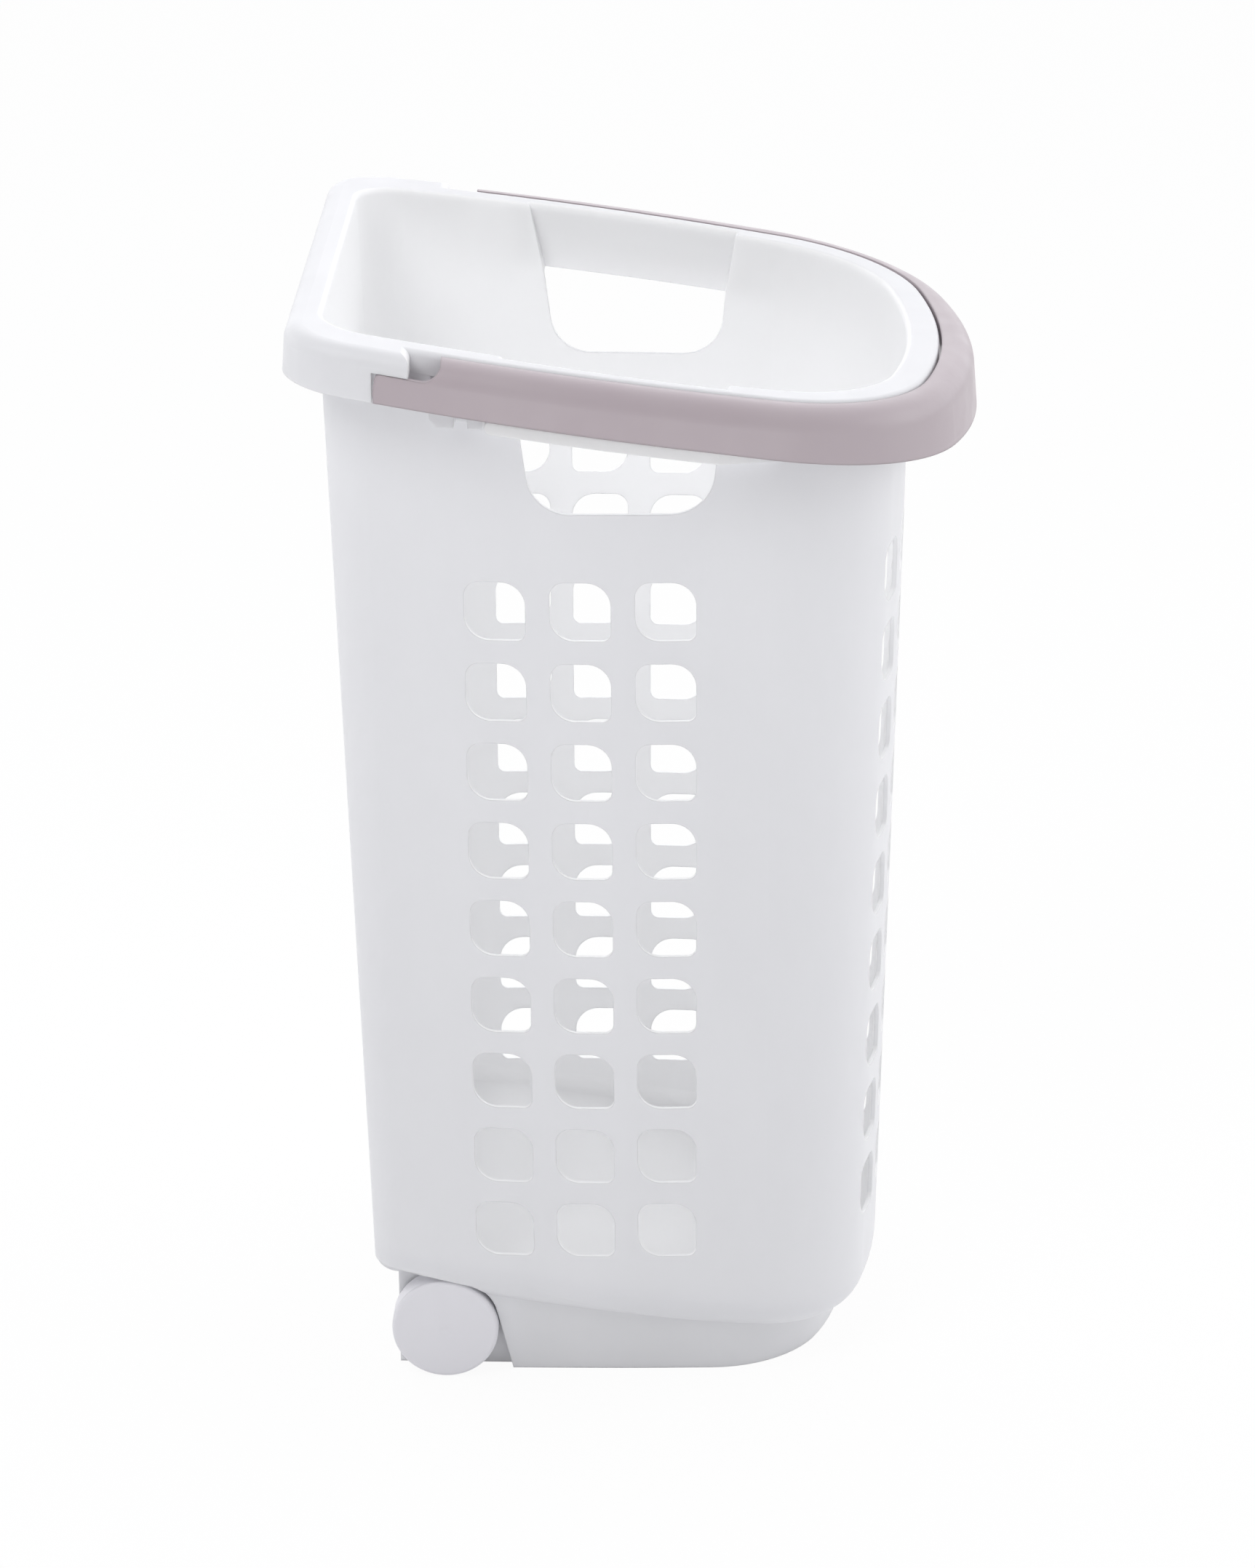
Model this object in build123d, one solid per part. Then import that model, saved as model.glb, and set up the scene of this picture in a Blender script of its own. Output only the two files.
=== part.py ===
from build123d import *
import os
from math import asin, atan, atan2, cos, degrees, pi, radians, sin, sqrt

# Wheeled laundry tub with a swing-up bail handle, all lengths in millimetres.
# +X points to the rounded nose, +Z up, z = 0 is the floor.

# Plan of the tub at the inner edge of the rim: four tangent arcs a side and a flat back
NOSE_X = 153.5
BACK_X = -167.6
R_NOSE = 340.0
R_SHOULDER = 80.0
R_SIDE = 900.0
R_BACK = 28.0
NOSE_TURN = 13.5
SHOULDER_TURN = 69.5
TUB_PLAN = (NOSE_X, R_NOSE, R_SHOULDER, R_SIDE, NOSE_TURN, SHOULDER_TURN)

# Rim plane, falling towards the nose; the base line runs parallel to it
RIM_Z = 625.4
SLOPE = 0.1388
BASE_Z = 40.1
BASE_ROUND = 13.0
NOSE_ROUND = 22.0
NOSE_BASE_X = 115.0
NOSE_BASE_RISE = 0.09
FLOOR_UP = 18.1
FLOOR_T = 3.0

# Drafted wall: growth of the plan with height, offset of its middle, and a slight lean to the back
WALL_GROW_0 = -14.97
WALL_DRAFT = 0.02667
WALL_SHIFT = 0.7
WALL_LEAN = 0.258
WALL_T = 2.5

# Foot below the tub: rounder in plan than the tub, with nearly straight sides
FOOT_PLAN = (119.4, 183.0, 70.0, 3570.0, 22.7, 65.1)
FOOT_BACK_X = -150.0
FOOT_BACK_R = 12.0
FOOT_FLARE = 0.19
FOOT_T = 3.0
CORE_BACK_X = -141.0

# Rim: a narrow ring where the handle nests, a deep skirt round the back
RING_GROW = 15.0
RING_DEPTH = 13.0
RIM_T = 4.0
RIM_INNER_ROUND = 3.0
SKIRT_PLAN = (NOSE_X, 260.0, 89.0, R_SIDE, 18.0, 65.65)
SKIRT_GROW = 34.0
SKIRT_FLARE = 0.08
SKIRT_BACK_X = -192.24
SKIRT_BACK_R = 46.0
SKIRT_DEPTH = 28.0
SKIRT_T = 3.0
SKIRT_ROUND = 9.0
SKIRT_END_X = -119.0
SKIRT_END_ROUND = 5.0
SKIRT_STEP_X = -138.8
SKIRT_STEP = 11.5

# Handle: channel section with a plate lobe behind each pivot
HANDLE_IN = 16.5
HANDLE_TOP = 0.6
HANDLE_ROUND = 13.0
GRIP_DEPTH = 34.5
HANDLE_END_X = -102.0
LOBE_REACH = 45.8
LOBE_DEPTH = 12.0
SHOULDER_ROUND = 11.0
PIVOT_X = -92.5
PIVOT_Z = 620.0
PIN_R = 3.5
PIN_CLEAR = 0.05

# Hand-holes, their jogged panel and the lip over each hole
HOLE_DEPTH = 40.0
HOLE_LEFT = -62.0
HOLE_RIGHT = 45.3
HOLE_BOTTOM = 544.5
HOLE_ROUND = 24.0
PANEL_OUT = 15.0
PANEL_Z = 582.5
PANEL_SLANT = 0.2
PANEL_WIDEN_LEFT = 0.207
PANEL_WIDEN_RIGHT = 0.162
LIP_HEIGHT = 8.0
LIP_GROW = 18.0

# Vents: rounded leaf shape, three columns a side and four round the nose
VENT_W = 33.5
VENT_H = 34.5
VENT_RADII = {(-1, 1): 8.0, (1, 1): 14.0, (1, -1): 5.0, (-1, -1): 14.0}
VENT_TOP_Z = 487.3
VENT_ROWS = 9
VENT_PITCH_Z = 48.27
VENT_X = (-76.5, -29.5, 17.5)
VENT_NOSE_Y = (-71.0, -24.0, 24.0, 71.0)

# Wheels, the notches they stand in, and the axle
WHEEL_X = -112.9
WHEEL_Z = 31.4
WHEEL_R = 31.2
WHEEL_IN = 110.0
NOTCH_Y = 109.5
NOTCH_TOP_X = -96.8
NOTCH_TOP_Z = 60.8
NOTCH_RISE = 0.217
AXLE_R = 3.0
AXLE_END = 120.6


def at(centre, radius, angle):
    return (centre[0] + radius * cos(angle), centre[1] + radius * sin(angle))


def plan(grow, z, shift=0.0, back_x=None, back_r=None, shape=TUB_PLAN):
    """Closed D outline at height z, grown outwards from the rim's inner edge."""
    back_x = BACK_X - grow if back_x is None else back_x
    back_r = R_BACK + grow if back_r is None else back_r
    nose_x = shape[0] + grow
    nose_r = shape[1] + grow
    shoulder_r = shape[2] + grow
    side_r = shape[3] + grow
    a1 = radians(shape[4])
    a2 = a1 + radians(shape[5])
    nose_c = (nose_x - nose_r, 0.0)
    shoulder_c = at(nose_c, nose_r - shoulder_r, a1)
    side_c = at(shoulder_c, shoulder_r - side_r, a2)
    corner_x = back_x + back_r
    corner_c = (corner_x, side_c[1] + sqrt((side_r - back_r) ** 2 - (corner_x - side_c[0]) ** 2))
    a3 = atan2(corner_c[1] - side_c[1], corner_c[0] - side_c[0])
    arcs = [
        (at(shoulder_c, shoulder_r, a1), at(shoulder_c, shoulder_r, (a1 + a2) / 2), at(side_c, side_r, a2)),
        (at(side_c, side_r, a2), at(side_c, side_r, (a2 + a3) / 2), at(side_c, side_r, a3)),
        (at(side_c, side_r, a3), at(corner_c, back_r, (a3 + pi) / 2), (back_x, corner_c[1])),
    ]

    def point(p, side=1):
        return (p[0] + shift, side * p[1], z)

    first = arcs[0][0]
    edges = [ThreePointArc(point(first, -1), point((nose_x, 0.0)), point(first))]
    edges += [ThreePointArc(*[point(p) for p in arc]) for arc in arcs]
    edges.append(Line(point(arcs[2][2]), point(arcs[2][2], -1)))
    edges += [ThreePointArc(*[point(p, -1) for p in reversed(arc)]) for arc in reversed(arcs)]
    return Wire(edges)


def prism(grow, z0=540.0, z1=700.0):
    return Solid.extrude(Face(plan(grow, z0)), Vector(0, 0, z1 - z0))


def flared(wire, height, slope):
    """Solid rising from an outline whose walls lean outwards by slope."""
    return Solid.extrude_taper(Face(wire), Vector(0, 0, height), -degrees(atan(slope)))


def drafted(offset, z0, z1):
    """The tub wall's drafted body, offset outwards, between two heights."""
    grow = WALL_GROW_0 + WALL_DRAFT * z0 + offset
    return Rot(Y=-WALL_LEAN) * flared(plan(grow, z0, WALL_SHIFT), z1 - z0, WALL_DRAFT)


def slanted_panel(offset):
    """Body whose sides lean outwards going down, for the panel over a hand-hole."""
    z0, z1 = PANEL_Z - 30.0, 700.0
    grow = WALL_GROW_0 + WALL_DRAFT * PANEL_Z + offset + PANEL_SLANT * 30.0
    return Rot(Y=-WALL_LEAN) * flared(plan(grow, z0, WALL_SHIFT), z1 - z0, -PANEL_SLANT)


def foot_body(offset, z0, z1):
    grow = FOOT_FLARE * z0 + offset
    wire = plan(grow, z0, back_x=FOOT_BACK_X - offset, back_r=FOOT_BACK_R, shape=FOOT_PLAN)
    return flared(wire, z1 - z0, FOOT_FLARE) & box(CORE_BACK_X - offset, 300, -300, 300, -50, 200)


def outer_band(inset):
    """Body under the outer face of the skirt and the handle, which flares out going down."""
    z0, z1 = 540.0, 700.0
    drop = SKIRT_FLARE * (600.0 - z0)
    back = SKIRT_BACK_X + inset - drop
    wire = plan(SKIRT_GROW - inset + drop, z0, 0.0, back, SKIRT_BACK_R - inset, SKIRT_PLAN)
    return flared(wire, z1 - z0, -SKIRT_FLARE)


def side_cut(points, y0=-260.0, y1=260.0):
    """Prism along Y over an outline in the side view, points as (x, z)."""
    outline = Wire.make_polygon([(x, y0, z) for x, z in points], close=True)
    return Solid.extrude(Face(outline), Vector(0, y1 - y0, 0))


def rim(x, depth=0.0):
    return RIM_Z - SLOPE * x - depth


def base(x, up=0.0):
    return BASE_Z - SLOPE * x + up


def band(d0, d1, x0=-260.0, x1=260.0):
    """Slab between two depths below the rim plane."""
    return side_cut([(x0, rim(x0, d0)), (x1, rim(x1, d0)), (x1, rim(x1, d1)), (x0, rim(x0, d1))])


def box(x0, x1, y0, y1, z0, z1):
    return Solid.make_box(x1 - x0, y1 - y0, z1 - z0, Plane((x0, y0, z0)))


def edges_on(solid, height):
    """Edges lying on a sloped plane given by its height at x."""
    found = ShapeList()
    for edge in solid.edges():
        spots = [edge.position_at(t) for t in (0.0, 0.5, 1.0)]
        if all(abs(p.Z - height(p.X)) < 0.05 for p in spots):
            found.append(edge)
    return found


def ring_body(body, d0, d1, rounding):
    """Slab of a body between two depths below the rim plane, its top edge rounded."""
    slab = (body & band(d0, d1)).solid()
    return slab.fillet(rounding, edges_on(slab, lambda x: rim(x, d0)))


def below(height):
    return side_cut([(-260, -60), (260, -60), (260, height(260)), (-260, height(-260))])


def above(height):
    return side_cut([(-260, 800), (260, 800), (260, height(260)), (-260, height(-260))])


def turned(radius, y0, y1, x=WHEEL_X, z=WHEEL_Z):
    """Cylinder about an axis along Y."""
    return Solid.make_cylinder(radius, y1 - y0, Plane((x, y0, z), z_dir=(0, 1, 0)))


def wheel_notches():
    """Side-view notches that the wheels stand in, cut through the foot and the wall's lower edge."""
    top = (NOTCH_TOP_X, NOTCH_TOP_Z)
    front = (-82.6, 41.9)
    back_z = NOTCH_TOP_Z + NOTCH_RISE * (230.0 + NOTCH_TOP_X)
    outline = make_face([
        Polyline(top, (-230.0, back_z), (-230.0, -5.0), (-72.8, -5.0), front),
        ThreePointArc(front, (-87.0, 52.5), top),
    ])
    notch = extrude(Plane.XZ.offset(NOTCH_Y) * outline, amount=80.0)
    return notch, mirror(notch, Plane.XZ)


def nose_form():
    """Drafted body with a wider rounding under the nose, whose lower plane drops away to the back."""
    wire = plan(WALL_GROW_0, 0.0, WALL_SHIFT, back_x=-400.0, back_r=60.0)
    form = Rot(Y=-WALL_LEAN) * flared(wire, 720.0, WALL_DRAFT)

    def plane(x):
        return base(NOSE_BASE_X) + NOSE_BASE_RISE * (NOSE_BASE_X - x)

    form = (form & above(plane)).solid()
    return form.fillet(NOSE_ROUND, edges_on(form, plane))


def build_foot(wall):
    return foot_body(0.0, 0.0, 80.0) & wall & below(lambda x: base(x, 10.0))


def underside(wall_inner):
    """Hollow below the floor, less the ribs, axle bosses and wheel well walls that stand in it."""
    hollow = foot_body(-FOOT_T, -2.0, 80.0) & wall_inner & below(lambda x: base(x, FLOOR_UP - FLOOR_T))
    keep = []
    for side in (-1, 1):
        well = sorted((side * (NOTCH_Y - FOOT_T), side * 200.0))
        keep.append(box(-200.0, -69.0, well[0], well[1], -30.0, 120.0))
        boss = sorted((side * 90.0, side * NOTCH_Y))
        keep.append(turned(8.5, boss[0], boss[1]))
        keep.append(box(WHEEL_X - 1.5, WHEEL_X + 1.5, boss[0], boss[1], WHEEL_Z, 120.0))
        for y in (28.0, 80.0):
            rib = sorted((side * y, side * (y + 2.5)))
            keep.append(box(-160.0, 160.0, rib[0], rib[1], 8.0, 120.0))
    for x in (-68.0, -12.0, 44.0, 92.0):
        keep.append(box(x - 1.25, x + 1.25, -150.0, 150.0, 8.0, 120.0))
    return hollow.cut(*keep)


def panel(x_margin, top):
    """Side-view outline of the jogged panel over a hand-hole, widening to the rim."""
    left, right = HOLE_LEFT - x_margin, HOLE_RIGHT + x_margin
    low_left, low_right = rim(HOLE_LEFT, HOLE_DEPTH), rim(HOLE_RIGHT, HOLE_DEPTH)
    return [
        (left - PANEL_WIDEN_LEFT * (top - low_left), top),
        (right + PANEL_WIDEN_RIGHT * (top - low_right), top),
        (right, low_right),
        (left, low_left),
    ]


def hand_holes():
    top = HOLE_DEPTH
    corners = [
        (HOLE_LEFT, rim(HOLE_LEFT, top)),
        (HOLE_RIGHT, rim(HOLE_RIGHT, top)),
        (HOLE_RIGHT - 3.0, HOLE_BOTTOM),
        (HOLE_LEFT + 6.5, HOLE_BOTTOM),
    ]
    outline = make_face(Polyline(*corners, close=True))
    outline = fillet(outline.vertices().sort_by(Axis.Y)[:2], HOLE_ROUND)
    return extrude(Plane.XZ * outline, amount=220.0, both=True)


def lip():
    """Strip along the top of the hand-hole, round at its back end, fading into the wall in front."""
    x0, x1 = -79.5, 84.0
    d0, d1 = HOLE_DEPTH - LIP_HEIGHT, HOLE_DEPTH
    strip = ring_body(prism(LIP_GROW), d0, d1, 2.0) & side_cut([(x0, 480), (x1, 480), (x1, 680), (x0, 680)])
    ends = [(36.0, 168.0), (84.0, 138.0), (140.0, 138.0), (140.0, 200.0), (36.0, 200.0)]
    for side in (-1, 1):
        fade = Wire.make_polygon([(x, side * y, 500.0) for x, y in ends], close=True)
        strip = strip - Solid.extrude(Face(fade), Vector(0, 0, 200.0))
    round_end = turned(LIP_HEIGHT / 2, -230.0, 230.0, x0 + 4.0, rim(x0 + 4.0, d1 - 4.0))
    square_end = side_cut([(x0 - 1, 480), (x0 + 4.0, 480), (x0 + 4.0, 680), (x0 - 1, 680)])
    return (strip - square_end) + (strip & round_end)


def pivot_bosses():
    """Forked boss for the handle pin on each side, its slot open below with a snap neck."""
    block = prism(13.5) & side_cut([
        (-109.5, rim(-109.5, 3.0)),
        (-78.5, rim(-78.5, 3.0)),
        (-78.5, 601.5),
        (-81.0, 597.0),
        (-106.0, 598.0),
        (-109.5, 602.5),
    ])
    seat = turned(PIN_R + PIN_CLEAR, -230.0, 230.0, PIVOT_X, PIVOT_Z)
    neck = side_cut([
        (PIVOT_X - 3.1, PIVOT_Z),
        (PIVOT_X + 3.1, PIVOT_Z),
        (PIVOT_X + 3.1, 608.5),
        (PIVOT_X + 4.3, 590.0),
        (PIVOT_X - 4.3, 590.0),
        (PIVOT_X - 3.1, 608.5),
    ])
    slot = (seat + neck) - drafted(0.8, 500.0, 720.0)
    # deeper piece of the ring that closes the view behind the handle's shoulder
    cheek = (prism(RING_GROW - 0.5) - prism(RING_GROW - 3.0)) & band(3.0, 22.0, -124.0, -108.0)
    return block + cheek, slot


def vents():
    leaf = Rectangle(VENT_W, VENT_H)
    for (sx, sz), radius in VENT_RADII.items():
        corner = leaf.vertices().sort_by_distance((sx * VENT_W / 2, sz * VENT_H / 2, 0))[0]
        leaf = fillet(corner, radius)
    cutters = []
    nose_c = NOSE_X - R_NOSE
    for row in range(VENT_ROWS):
        z = VENT_TOP_Z - VENT_PITCH_Z * row
        for side in (-1, 1):
            for x in VENT_X:
                face = Plane((x, side * 165.0, z), x_dir=(-side, 0, 0), z_dir=(0, side, 0)) * leaf
                cutters.append(extrude(face, amount=-50.0).solid())
        for y in VENT_NOSE_Y:
            turn = asin(y / R_NOSE)
            spot = at((nose_c, 0.0), R_NOSE + 25.0, turn)
            along = (-sin(turn), cos(turn), 0)
            outward = (cos(turn), sin(turn), 0)
            face = Plane((spot[0], spot[1], z), x_dir=along, z_dir=outward) * leaf
            cutters.append(extrude(face, amount=-60.0).solid())
    return cutters


def inner_rim_edges(body):
    """Edges of the rim's flat top that bound the opening."""
    flat = body.faces().filter_by(lambda f: abs(f.center().Z - rim(f.center().X)) < 0.01)
    return flat.sort_by(SortBy.AREA)[-1].inner_wires()[0].edges()


def build_tub():
    wall = drafted(0.0, 0.0, 720.0)
    shell = (wall & below(rim) & above(base)).solid()
    shell = shell.fillet(BASE_ROUND, edges_on(shell, base))
    shell = (shell & nose_form()).solid()
    near, far = wheel_notches()
    body = shell + build_foot(wall) - near - far

    # rim ring under the handle, and the deep skirt round the back
    ring = ring_body(prism(RING_GROW), 0.0, RING_DEPTH, 3.0)
    ring = ring - (prism(RING_GROW - 2.5) & band(RIM_T, RING_DEPTH + 5.0))
    ring = ring & side_cut([(-128, 500), (260, 500), (260, 700), (-128, 700)])
    skirt = ring_body(outer_band(0.0), 0.0, SKIRT_DEPTH, SKIRT_ROUND)
    hollow = ring_body(outer_band(SKIRT_T), RIM_T, SKIRT_DEPTH + 8.0, SKIRT_ROUND - SKIRT_T)
    end, step, curve = SKIRT_END_X, SKIRT_STEP_X, SKIRT_END_ROUND
    start = (end, rim(end, curve))
    finish = (end - curve, rim(end - curve, -0.02))
    outline = make_face([
        ThreePointArc(start, (end - 0.293 * curve, rim(end - 0.293 * curve, 0.293 * curve)), finish),
        Polyline(
            finish,
            (end - curve - 2.0, rim(end, -5)),
            (-260, rim(-260, -5)),
            (-260, rim(-260, 60)),
            (step, rim(step, 60)),
            (step, rim(step, SKIRT_STEP)),
            (end, rim(end, SKIRT_STEP)),
            start,
        ),
    ])
    skirt = skirt & extrude(Plane.XZ * outline, amount=260.0, both=True)
    end, step = SKIRT_END_X - SKIRT_T, SKIRT_STEP_X - SKIRT_T
    hollow = hollow & side_cut([
        (-260, rim(-260, -5)),
        (end, rim(end, -5)),
        (end, rim(end, SKIRT_STEP + 1)),
        (step, rim(step, SKIRT_STEP + 1)),
        (step, rim(step, 60)),
        (-260, rim(-260, 60)),
    ])
    skirt = skirt - hollow
    pad = slanted_panel(PANEL_OUT) & side_cut(panel(2.5, 700.0)) & below(lambda x: rim(x, 2.0))
    boss, slot = pivot_bosses()
    body = body.fuse(ring, skirt, pad, lip(), boss).clean()

    # inside of the tub, jogged out over the hand-holes
    inner = (drafted(-WALL_T, 0.0, 720.0) & above(lambda x: base(x, FLOOR_UP))).solid()
    inner = inner.fillet(8.0, edges_on(inner, lambda x: base(x, FLOOR_UP)))
    recess = slanted_panel(PANEL_OUT - WALL_T) & side_cut(panel(0.0, 720.0))
    body = (body - inner - recess).solid()
    body = body.fillet(RIM_INNER_ROUND, inner_rim_edges(body)) - slot
    body = body - underside(drafted(-FOOT_T, -2.0, 120.0)) - hand_holes()
    body = body - turned(AXLE_R, -150.0, 150.0)
    return body.cut(*vents())


def lobe_end(depth):
    """Point on the lobe's back end, which is round about the pivot."""
    z = rim(PIVOT_X - LOBE_REACH, depth)
    return (PIVOT_X - sqrt(LOBE_REACH ** 2 - (z - PIVOT_Z) ** 2), z)


def build_handle():
    body = ring_body(outer_band(0.0), HANDLE_TOP, SKIRT_DEPTH + 12.0, HANDLE_ROUND)
    body = body - prism(HANDLE_IN)
    end, bend = HANDLE_END_X, SHOULDER_ROUND
    low, middle, high = (lobe_end(d) for d in (SKIRT_DEPTH, 20.0, LOBE_DEPTH))
    outline = make_face([
        Polyline(
            (end, rim(end, LOBE_DEPTH - bend)),
            (end, 720.0),
            (230.0, 720.0),
            (230.0, rim(230.0, GRIP_DEPTH)),
            (190.0, rim(190.0, GRIP_DEPTH)),
        ),
        ThreePointArc(
            (190.0, rim(190.0, GRIP_DEPTH)),
            (118.0, rim(118.0, SKIRT_DEPTH + 1.8)),
            (40.0, rim(40.0, SKIRT_DEPTH)),
        ),
        Line((40.0, rim(40.0, SKIRT_DEPTH)), low),
        ThreePointArc(low, middle, high),
        Line(high, (end - bend, rim(end - bend, LOBE_DEPTH))),
        ThreePointArc(
            (end - bend, rim(end - bend, LOBE_DEPTH)),
            (end - 0.293 * bend, rim(end - 0.293 * bend, LOBE_DEPTH - 0.293 * bend)),
            (end, rim(end, LOBE_DEPTH - bend)),
        ),
    ])
    outline = fillet(outline.vertices().sort_by_distance((high[0], high[1], 0))[0], 3.0)
    body = body & extrude(Plane.XZ * outline, amount=260.0, both=True)
    hollow = ring_body(outer_band(3.0), HANDLE_TOP + 4.0, SKIRT_DEPTH + 14.0, HANDLE_ROUND - 3.0)
    hollow = hollow - prism(HANDLE_IN + 2.5)
    # cross ribs in the upper half of the channel
    ribs = band(0.0, 18.0)
    for x in (-60.0, -10.0, 40.0, 90.0):
        hollow = hollow - (ribs & box(x - 1.0, x + 1.0, -300, 300, 500, 720))
    for y in (-75.0, -25.0, 25.0, 75.0):
        hollow = hollow - (ribs & box(120.0, 300.0, y - 1.0, y + 1.0, 500, 720))
    body = body - (hollow & side_cut([(end + 3.0, 500), (260, 500), (260, 720), (end + 3.0, 720)]))
    # lobe: a plate with one web, which meets the lip when the handle is up
    behind = outer_band(3.5) & side_cut([(-160, 500), (end, 500), (end, 720), (-160, 720)])
    web = side_cut([(-121.0, 500), (-114.5, 500), (-114.5, rim(-114.5, 18.0)), (-121.0, rim(-121.0, 18.0))])
    web = web - prism(HANDLE_IN + 0.5)
    body = body - (behind - web)
    for side in (-1, 1):
        pin = sorted((side * 149.5, side * 162.8))
        body = body + turned(PIN_R, pin[0], pin[1], PIVOT_X, PIVOT_Z)
    return body


def spun(points, side, rounded=()):
    """Body of revolution about the axle: points as (radius, distance out from the wheel's inner face)."""
    face = make_face(Polyline(*points, close=True))
    for spot, radius in rounded:
        face = fillet(face.vertices().sort_by_distance((spot[0], spot[1], 0))[0], radius)
    body = revolve(Plane.XZ * face, Axis.Z)
    return Pos(WHEEL_X, side * WHEEL_IN, WHEEL_Z) * Rot(X=-90 * side) * body


def build_running_gear():
    made = {"axle": turned(AXLE_R, -AXLE_END, AXLE_END)}
    made["axle"] = made["axle"].chamfer(0.6, None, made["axle"].edges().filter_by(GeomType.CIRCLE))
    bore = AXLE_R + 0.05
    for name, side in (("left", -1), ("right", 1)):
        tread, cover = WHEEL_R - 4.1, WHEEL_R - 0.1
        wheel = [(bore, 0.0), (7.5, 0.0), (7.5, 4.0), (tread + 0.5, 4.0), (tread + 0.5, 0.8), (WHEEL_R, 0.8)]
        wheel += [(WHEEL_R, 16.0), (tread, 16.0), (tread, 7.0), (7.5, 7.0), (7.5, 7.2), (bore, 7.2)]
        made["wheel_" + name] = spun(wheel, side, (((WHEEL_R, 0.8), 1.5),))
        plug = tread - 0.1
        cap = [(0.0, 18.3), (4.0, 18.8), (cover, 18.8), (cover, 16.0), (plug, 16.0), (plug, 12.7)]
        cap += [(plug - 2.1, 12.7), (plug - 2.1, 16.0), (0.0, 16.0)]
        made["wheel_cap_" + name] = spun(cap, side, (((cover, 18.8), 2.4),))
        nut = [(AXLE_R, 7.6), (6.8, 7.6), (6.8, 8.3), (AXLE_R, 9.0)]
        made["push_nut_" + name] = spun(nut, side)
    return made


os.makedirs("parts", exist_ok=True)
nodes = {"tub": build_tub(), "handle": build_handle()}
nodes.update(build_running_gear())
for node, shape in nodes.items():
    solids = shape.solids()
    print(node, len(solids), round(shape.volume), shape.bounding_box())
    export_step(solids[0] if len(solids) == 1 else shape, "parts/" + node + ".step")
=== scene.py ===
import math

import bpy
from mathutils import Matrix, Vector

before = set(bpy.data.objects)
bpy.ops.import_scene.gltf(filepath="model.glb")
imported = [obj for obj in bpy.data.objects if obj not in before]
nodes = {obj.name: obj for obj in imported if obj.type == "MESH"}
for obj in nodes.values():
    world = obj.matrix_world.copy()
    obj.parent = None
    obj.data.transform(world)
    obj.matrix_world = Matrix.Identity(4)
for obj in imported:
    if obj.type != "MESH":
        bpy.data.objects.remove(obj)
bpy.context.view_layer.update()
scene = bpy.context.scene

# Camera solved from the photograph: angles in radians, place in metres, focal length in the photograph's pixels
PHOTO_HEIGHT_PX = 2156.0
FOCAL_PX = 7000.0
SENSOR_MM = 36.0
CAMERA_AT = (0.0866, -2.7589, 1.4710)
YAW, PITCH, ROLL = 0.0346, 0.3933, -0.0047

# Where the tub's painted light, a whiter tone on the inner faces, the vents' edges, the low floor and the lips,
# starts and is full, in metres
RIM_SLOPE = 0.1388
VENTS_BELOW = (0.54, 0.52)
FLOOR_BELOW = (0.4, 0.2)
LIP_BOTTOM = (0.5842, 0.5850)
LIP_TOP = (0.5942, 0.5934)
LIP_BACK = (-0.081, -0.0795)
LIP_FRONT = (0.084, 0.05)

# How squarely a face looks at the tub's axis (-1) or up (+1) to take that painted light tone; the shift counts the
# vents' edges in
FACING_IN = (-0.1, -0.5)
FACING_UP = (0.3, 0.7)
VENT_EDGE_SHIFT = -0.45

# Middle part of a noise, stretched to the range asked for
NOISE_LOW, NOISE_HIGH = 0.3, 0.7

PLASTIC_IOR = 1.49
GLOW_RADIUS = 0.006
FLOOR_SIZE = 30.0
FLOOR_WHITE = 0.93
FLOOR_GLOW_SHARE = 0.93

# Tent of light: the side that is brightest, and its strength in front of and behind the object
TENT_COLOUR = (0.98, 0.985, 1.0, 1.0)
TENT_BRIGHT_SIDE = (0.22, 0.97, -0.12)
TENT_SPAN = (-0.8, 0.95)
TENT_STRENGTH = (0.335, 1.58)
WHITE = (1.0, 1.0, 1.0, 1.0)


def srgb(r, g, b):
    """Linear colour from the 0-255 values seen on screen."""
    out = []
    for v in (r, g, b):
        v /= 255.0
        out.append(v / 12.92 if v <= 0.04045 else ((v + 0.055) / 1.055) ** 2.4)
    return (*out, 1.0)


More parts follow.
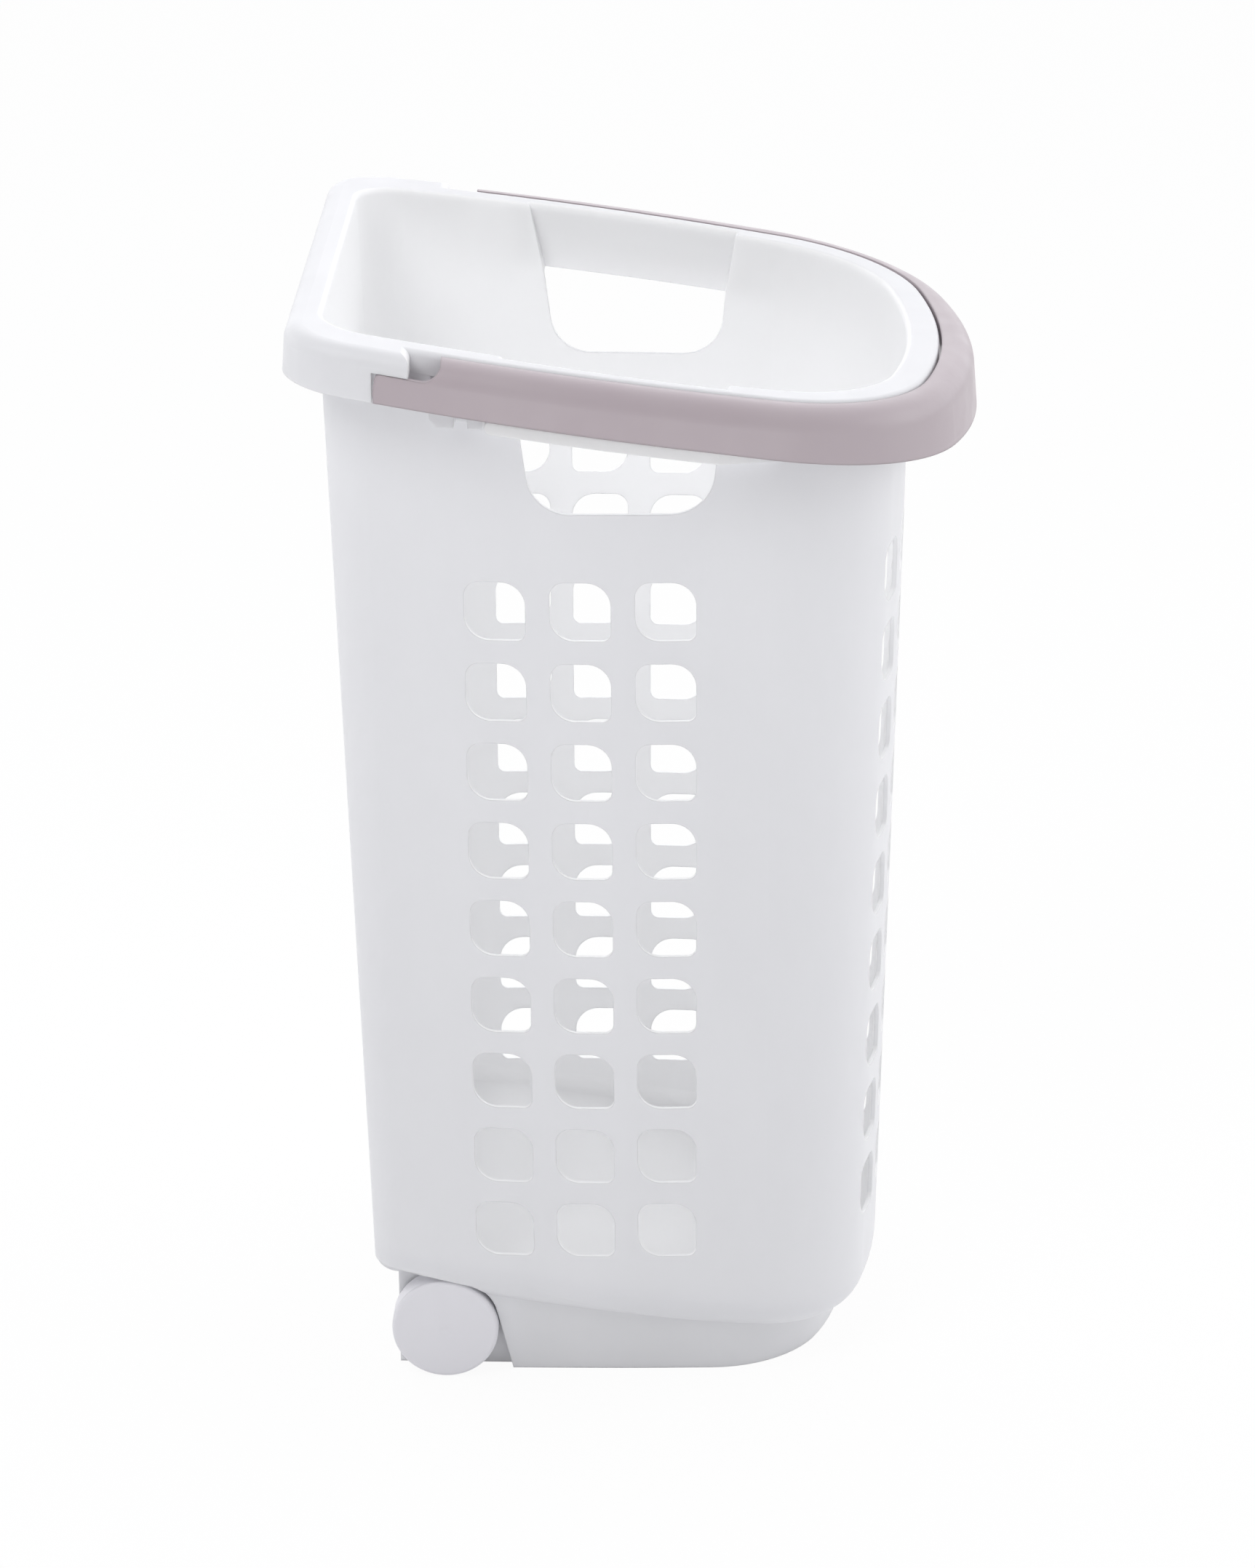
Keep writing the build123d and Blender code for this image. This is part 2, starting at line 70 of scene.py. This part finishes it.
class Shader:
    """Shorthand for building one node material."""

    def __init__(self, name):
        self.material = bpy.data.materials.new(name)
        self.material.use_nodes = True
        self.tree = self.material.node_tree
        self.tree.nodes.clear()
        self.out = self.add("OutputMaterial")

    def add(self, kind, **settings):
        node = self.tree.nodes.new("ShaderNode" + kind)
        for key, value in settings.items():
            setattr(node, key, value)
        return node

    def link(self, source, target):
        self.tree.links.new(source, target)

    def noise(self, vector, scale, detail=2.0, roughness=0.5):
        node = self.add("TexNoise")
        node.inputs["Scale"].default_value = scale
        node.inputs["Detail"].default_value = detail
        node.inputs["Roughness"].default_value = roughness
        self.link(vector, node.inputs["Vector"])
        return node.outputs["Fac"]

    def spread(self, value, low, high):
        """Maps the middle of a noise to a range."""
        node = self.add("MapRange")
        node.inputs["From Min"].default_value = NOISE_LOW
        node.inputs["From Max"].default_value = NOISE_HIGH
        node.inputs["To Min"].default_value = low
        node.inputs["To Max"].default_value = high
        self.link(value, node.inputs["Value"])
        return node.outputs["Result"]

    def ramp(self, value, start, end):
        """0 at start, 1 at end."""
        node = self.add("MapRange")
        node.inputs["From Min"].default_value = start
        node.inputs["From Max"].default_value = end
        self.link(value, node.inputs["Value"])
        return node.outputs["Result"]

    def blend(self, factor, first, second):
        """Mixes two colours, each a fixed one or a socket."""
        node = self.add("Mix", data_type="RGBA")
        self.link(factor, node.inputs["Factor"])
        for value, socket in ((first, node.inputs["A"]), (second, node.inputs["B"])):
            if isinstance(value, tuple):
                socket.default_value = value
            else:
                self.link(value, socket)
        return node.outputs["Result"]


def painted_light_mask(s):
    """Painted light: mask of the faces that look towards the tub's axis, and of the vents' edges, the floor and the
    lips, which take a whiter tone in place of light reaching them.
    """
    where = s.add("TexCoord")
    flat = s.add("VectorMath", operation="MULTIPLY")
    flat.inputs[1].default_value = (1.0, 1.0, 0.0)
    s.link(where.outputs["Object"], flat.inputs[0])
    outward = s.add("VectorMath", operation="NORMALIZE")
    s.link(flat.outputs["Vector"], outward.inputs[0])
    facing = s.add("VectorMath", operation="DOT_PRODUCT")
    s.link(outward.outputs["Vector"], facing.inputs[0])
    s.link(where.outputs["Normal"], facing.inputs[1])
    place = s.add("SeparateXYZ")
    s.link(where.outputs["Object"], place.inputs[0])
    vents = s.add("Math", operation="MULTIPLY_ADD")
    s.link(s.ramp(place.outputs["Z"], *VENTS_BELOW), vents.inputs[0])
    vents.inputs[1].default_value = VENT_EDGE_SHIFT
    s.link(facing.outputs["Value"], vents.inputs[2])
    wall = s.ramp(vents.outputs[0], *FACING_IN)
    slope = s.add("SeparateXYZ")
    s.link(where.outputs["Normal"], slope.inputs[0])
    floor = s.add("Math", operation="MULTIPLY")
    s.link(s.ramp(place.outputs["Z"], *FLOOR_BELOW), floor.inputs[0])
    s.link(s.ramp(slope.outputs["Z"], *FACING_UP), floor.inputs[1])
    # the lips run parallel to the rim, so their height is measured along its slope
    level = s.add("VectorMath", operation="DOT_PRODUCT")
    s.link(where.outputs["Object"], level.inputs[0])
    level.inputs[1].default_value = (RIM_SLOPE, 0.0, 1.0)
    lip = s.ramp(level.outputs["Value"], *LIP_BOTTOM)
    limits = (
        (level.outputs["Value"], LIP_TOP),
        (place.outputs["X"], LIP_BACK),
        (place.outputs["X"], LIP_FRONT),
    )
    for value, limit in limits:
        window = s.add("Math", operation="MULTIPLY")
        s.link(lip, window.inputs[0])
        s.link(s.ramp(value, *limit), window.inputs[1])
        lip = window.outputs[0]
    mask = wall
    for part in (floor.outputs[0], lip):
        both = s.add("Math", operation="MAXIMUM")
        s.link(mask, both.inputs[0])
        s.link(part, both.inputs[1])
        mask = both.outputs[0]
    return mask


def moulded(name, colour, shade, rough, edge=0.0012, grain=0.00006, glow=0.0, painted_light=None):
    """Moulded plastic: faint flow marks, fine grain, rounded edges; glow is the subsurface share; the optional last
    colour is painted light, a whiter tone laid on the inner faces, vents' edges, floor and lips.
    """
    s = Shader(name)
    where = s.add("TexCoord").outputs["Object"]
    stretch = s.add("Mapping")
    stretch.inputs["Scale"].default_value = (1.0, 1.0, 0.35)
    s.link(where, stretch.inputs["Vector"])
    flow = s.noise(stretch.outputs["Vector"], scale=9.0, detail=4.0, roughness=0.6)
    body = s.add("BsdfPrincipled")
    tone = s.blend(s.spread(flow, 0.0, 1.0), colour, shade)
    # painted light: the inner faces, vents' edges, floor and lips get a whiter colour standing in for light
    if painted_light:
        tone = s.blend(painted_light_mask(s), tone, painted_light)
    s.link(tone, body.inputs["Base Color"])
    wear = s.noise(where, scale=60.0, detail=3.0)
    s.link(s.spread(wear, rough - 0.05, rough + 0.06), body.inputs["Roughness"])
    body.inputs["IOR"].default_value = PLASTIC_IOR
    rounded = s.add("Bevel", samples=6)
    rounded.inputs["Radius"].default_value = edge
    bump = s.add("Bump")
    bump.inputs["Strength"].default_value = 0.25
    bump.inputs["Distance"].default_value = grain
    s.link(s.noise(where, scale=1500.0, detail=1.0), bump.inputs["Height"])
    s.link(rounded.outputs["Normal"], bump.inputs["Normal"])
    s.link(bump.outputs["Normal"], body.inputs["Normal"])
    if glow:
        body.inputs["Subsurface Weight"].default_value = glow
        body.inputs["Subsurface Radius"].default_value = (GLOW_RADIUS,) * 3
        body.inputs["Subsurface Scale"].default_value = 1.0
    s.link(body.outputs["BSDF"], s.out.inputs["Surface"])
    return s.material


def drawn_steel(name):
    """Drawn rod: fine lines along its length over a grey metal."""
    s = Shader(name)
    where = s.add("TexCoord").outputs["Object"]
    stretch = s.add("Mapping")
    stretch.inputs["Scale"].default_value = (1.0, 0.02, 1.0)
    s.link(where, stretch.inputs["Vector"])
    lines = s.noise(stretch.outputs["Vector"], scale=2500.0)
    body = s.add("BsdfPrincipled")
    body.inputs["Metallic"].default_value = 1.0
    tone = s.blend(s.spread(lines, 0.0, 1.0), srgb(186, 186, 190), srgb(160, 160, 165))
    s.link(tone, body.inputs["Base Color"])
    s.link(s.spread(lines, 0.26, 0.42), body.inputs["Roughness"])
    bump = s.add("Bump")
    bump.inputs["Strength"].default_value = 0.2
    bump.inputs["Distance"].default_value = 0.00005
    s.link(lines, bump.inputs["Height"])
    s.link(bump.outputs["Normal"], body.inputs["Normal"])
    s.link(body.outputs["BSDF"], s.out.inputs["Surface"])
    return s.material


def dress(node, material):
    """Gives a CAD node its one material."""
    mesh = nodes[node].data
    mesh.materials.clear()
    mesh.materials.append(material)


# the tub's last colour is painted light, a near-white tone on its inner faces, vents' edges, floor and lips
white = moulded(
    "tub_white", srgb(229, 229, 232), srgb(225, 225, 228), 0.42, glow=0.4, painted_light=srgb(254, 254, 255)
)
pink = moulded("handle_pink", srgb(184, 173, 178), srgb(180, 168, 174), 0.34, edge=0.002)
pale = moulded("wheel_white", srgb(233, 232, 237), srgb(228, 227, 232), 0.45, edge=0.0008)
steel = drawn_steel("axle_steel")
dress("tub", white)
dress("handle", pink)
for side in ("left", "right"):
    dress("wheel_" + side, pale)
    dress("wheel_cap_" + side, pale)
    dress("push_nut_" + side, steel)
dress("axle", steel)


def floor_material():
    """White floor that reads white to the camera and still takes the soft shadow."""
    s = Shader("floor_white")
    matte = s.add("BsdfDiffuse")
    matte.inputs["Color"].default_value = (FLOOR_WHITE, FLOOR_WHITE, FLOOR_WHITE, 1.0)
    glow = s.add("Emission")
    glow.inputs["Color"].default_value = WHITE
    path = s.add("LightPath")
    seen = s.add("Math", operation="MAXIMUM")
    s.link(path.outputs["Is Camera Ray"], seen.inputs[0])
    s.link(path.outputs["Is Glossy Ray"], seen.inputs[1])
    share = s.add("Math", operation="MULTIPLY")
    s.link(seen.outputs[0], share.inputs[0])
    share.inputs[1].default_value = FLOOR_GLOW_SHARE
    mix = s.add("MixShader")
    s.link(share.outputs[0], mix.inputs["Fac"])
    s.link(matte.outputs["BSDF"], mix.inputs[1])
    s.link(glow.outputs["Emission"], mix.inputs[2])
    s.link(mix.outputs["Shader"], s.out.inputs["Surface"])
    return s.material


bpy.ops.mesh.primitive_plane_add(size=FLOOR_SIZE, location=(0, 0, 0))
floor = bpy.context.object
floor.name = "floor"
floor.data.materials.append(floor_material())

world = bpy.data.worlds.new("studio")
scene.world = world
world.use_nodes = True
tree = world.node_tree
tree.nodes.clear()
out = tree.nodes.new("ShaderNodeOutputWorld")
# a tent of light, dimmer on the side the camera looks from; the camera itself sees plain white
plain = tree.nodes.new("ShaderNodeBackground")
plain.inputs["Color"].default_value = TENT_COLOUR
sky = tree.nodes.new("ShaderNodeTexCoord")
toward = tree.nodes.new("ShaderNodeVectorMath")
toward.operation = "DOT_PRODUCT"
toward.inputs[1].default_value = TENT_BRIGHT_SIDE
tent = tree.nodes.new("ShaderNodeMapRange")
tent.interpolation_type = "SMOOTHSTEP"
tent.inputs["From Min"].default_value, tent.inputs["From Max"].default_value = TENT_SPAN
tent.inputs["To Min"].default_value, tent.inputs["To Max"].default_value = TENT_STRENGTH
tree.links.new(sky.outputs["Generated"], toward.inputs[0])
tree.links.new(toward.outputs["Value"], tent.inputs["Value"])
tree.links.new(tent.outputs["Result"], plain.inputs["Strength"])
seen = tree.nodes.new("ShaderNodeBackground")
seen.inputs["Color"].default_value = WHITE
seen.inputs["Strength"].default_value = 1.0
path = tree.nodes.new("ShaderNodeLightPath")
mix = tree.nodes.new("ShaderNodeMixShader")
tree.links.new(path.outputs["Is Camera Ray"], mix.inputs["Fac"])
tree.links.new(plain.outputs["Background"], mix.inputs[1])
tree.links.new(seen.outputs["Background"], mix.inputs[2])
tree.links.new(mix.outputs["Shader"], out.inputs["Surface"])


def lamp(name, place, aim, size, power):
    """Soft rectangular lamp; size in metres, power in watts."""
    data = bpy.data.lights.new(name, "AREA")
    data.shape = "RECTANGLE"
    data.size, data.size_y = size
    data.energy = power
    obj = bpy.data.objects.new(name, data)
    scene.collection.objects.link(obj)
    obj.location = place
    obj.rotation_euler = (Vector(aim) - Vector(place)).to_track_quat("-Z", "Y").to_euler()


lamp("key", (-1.2, -1.7, 2.7), (0.0, 0.05, 0.45), (1.4, 1.4), 26)
lamp("side", (-2.4, -0.1, 2.1), (0.15, 0.05, 0.5), (1.2, 1.2), 2.5)
lamp("low", (0.2, -2.4, 0.3), (0.0, 0.0, 0.1), (1.8, 0.5), 4.0)
lamp("fill", (2.4, 0.2, 1.2), (0, 0, 0.3), (1.6, 1.6), 8)

# camera at the photograph's viewing angle
data = bpy.data.cameras.new("camera")
camera = bpy.data.objects.new("camera", data)
scene.collection.objects.link(camera)
scene.camera = camera
data.sensor_fit = "AUTO"
data.sensor_width = SENSOR_MM
data.lens = SENSOR_MM * FOCAL_PX / PHOTO_HEIGHT_PX
data.clip_start, data.clip_end = 0.05, 60.0
level = math.cos(PITCH)
ahead = Vector((-math.sin(YAW) * level, math.cos(YAW) * level, -math.sin(PITCH)))
right = Vector((math.cos(YAW), math.sin(YAW), 0.0))
up = right.cross(ahead)
right, up = (
    right * math.cos(ROLL) + up * math.sin(ROLL),
    up * math.cos(ROLL) - right * math.sin(ROLL),
)
turn = Matrix((right, up, -ahead)).transposed().to_4x4()
camera.matrix_world = Matrix.Translation(CAMERA_AT) @ turn

scene.view_settings.view_transform = "Standard"
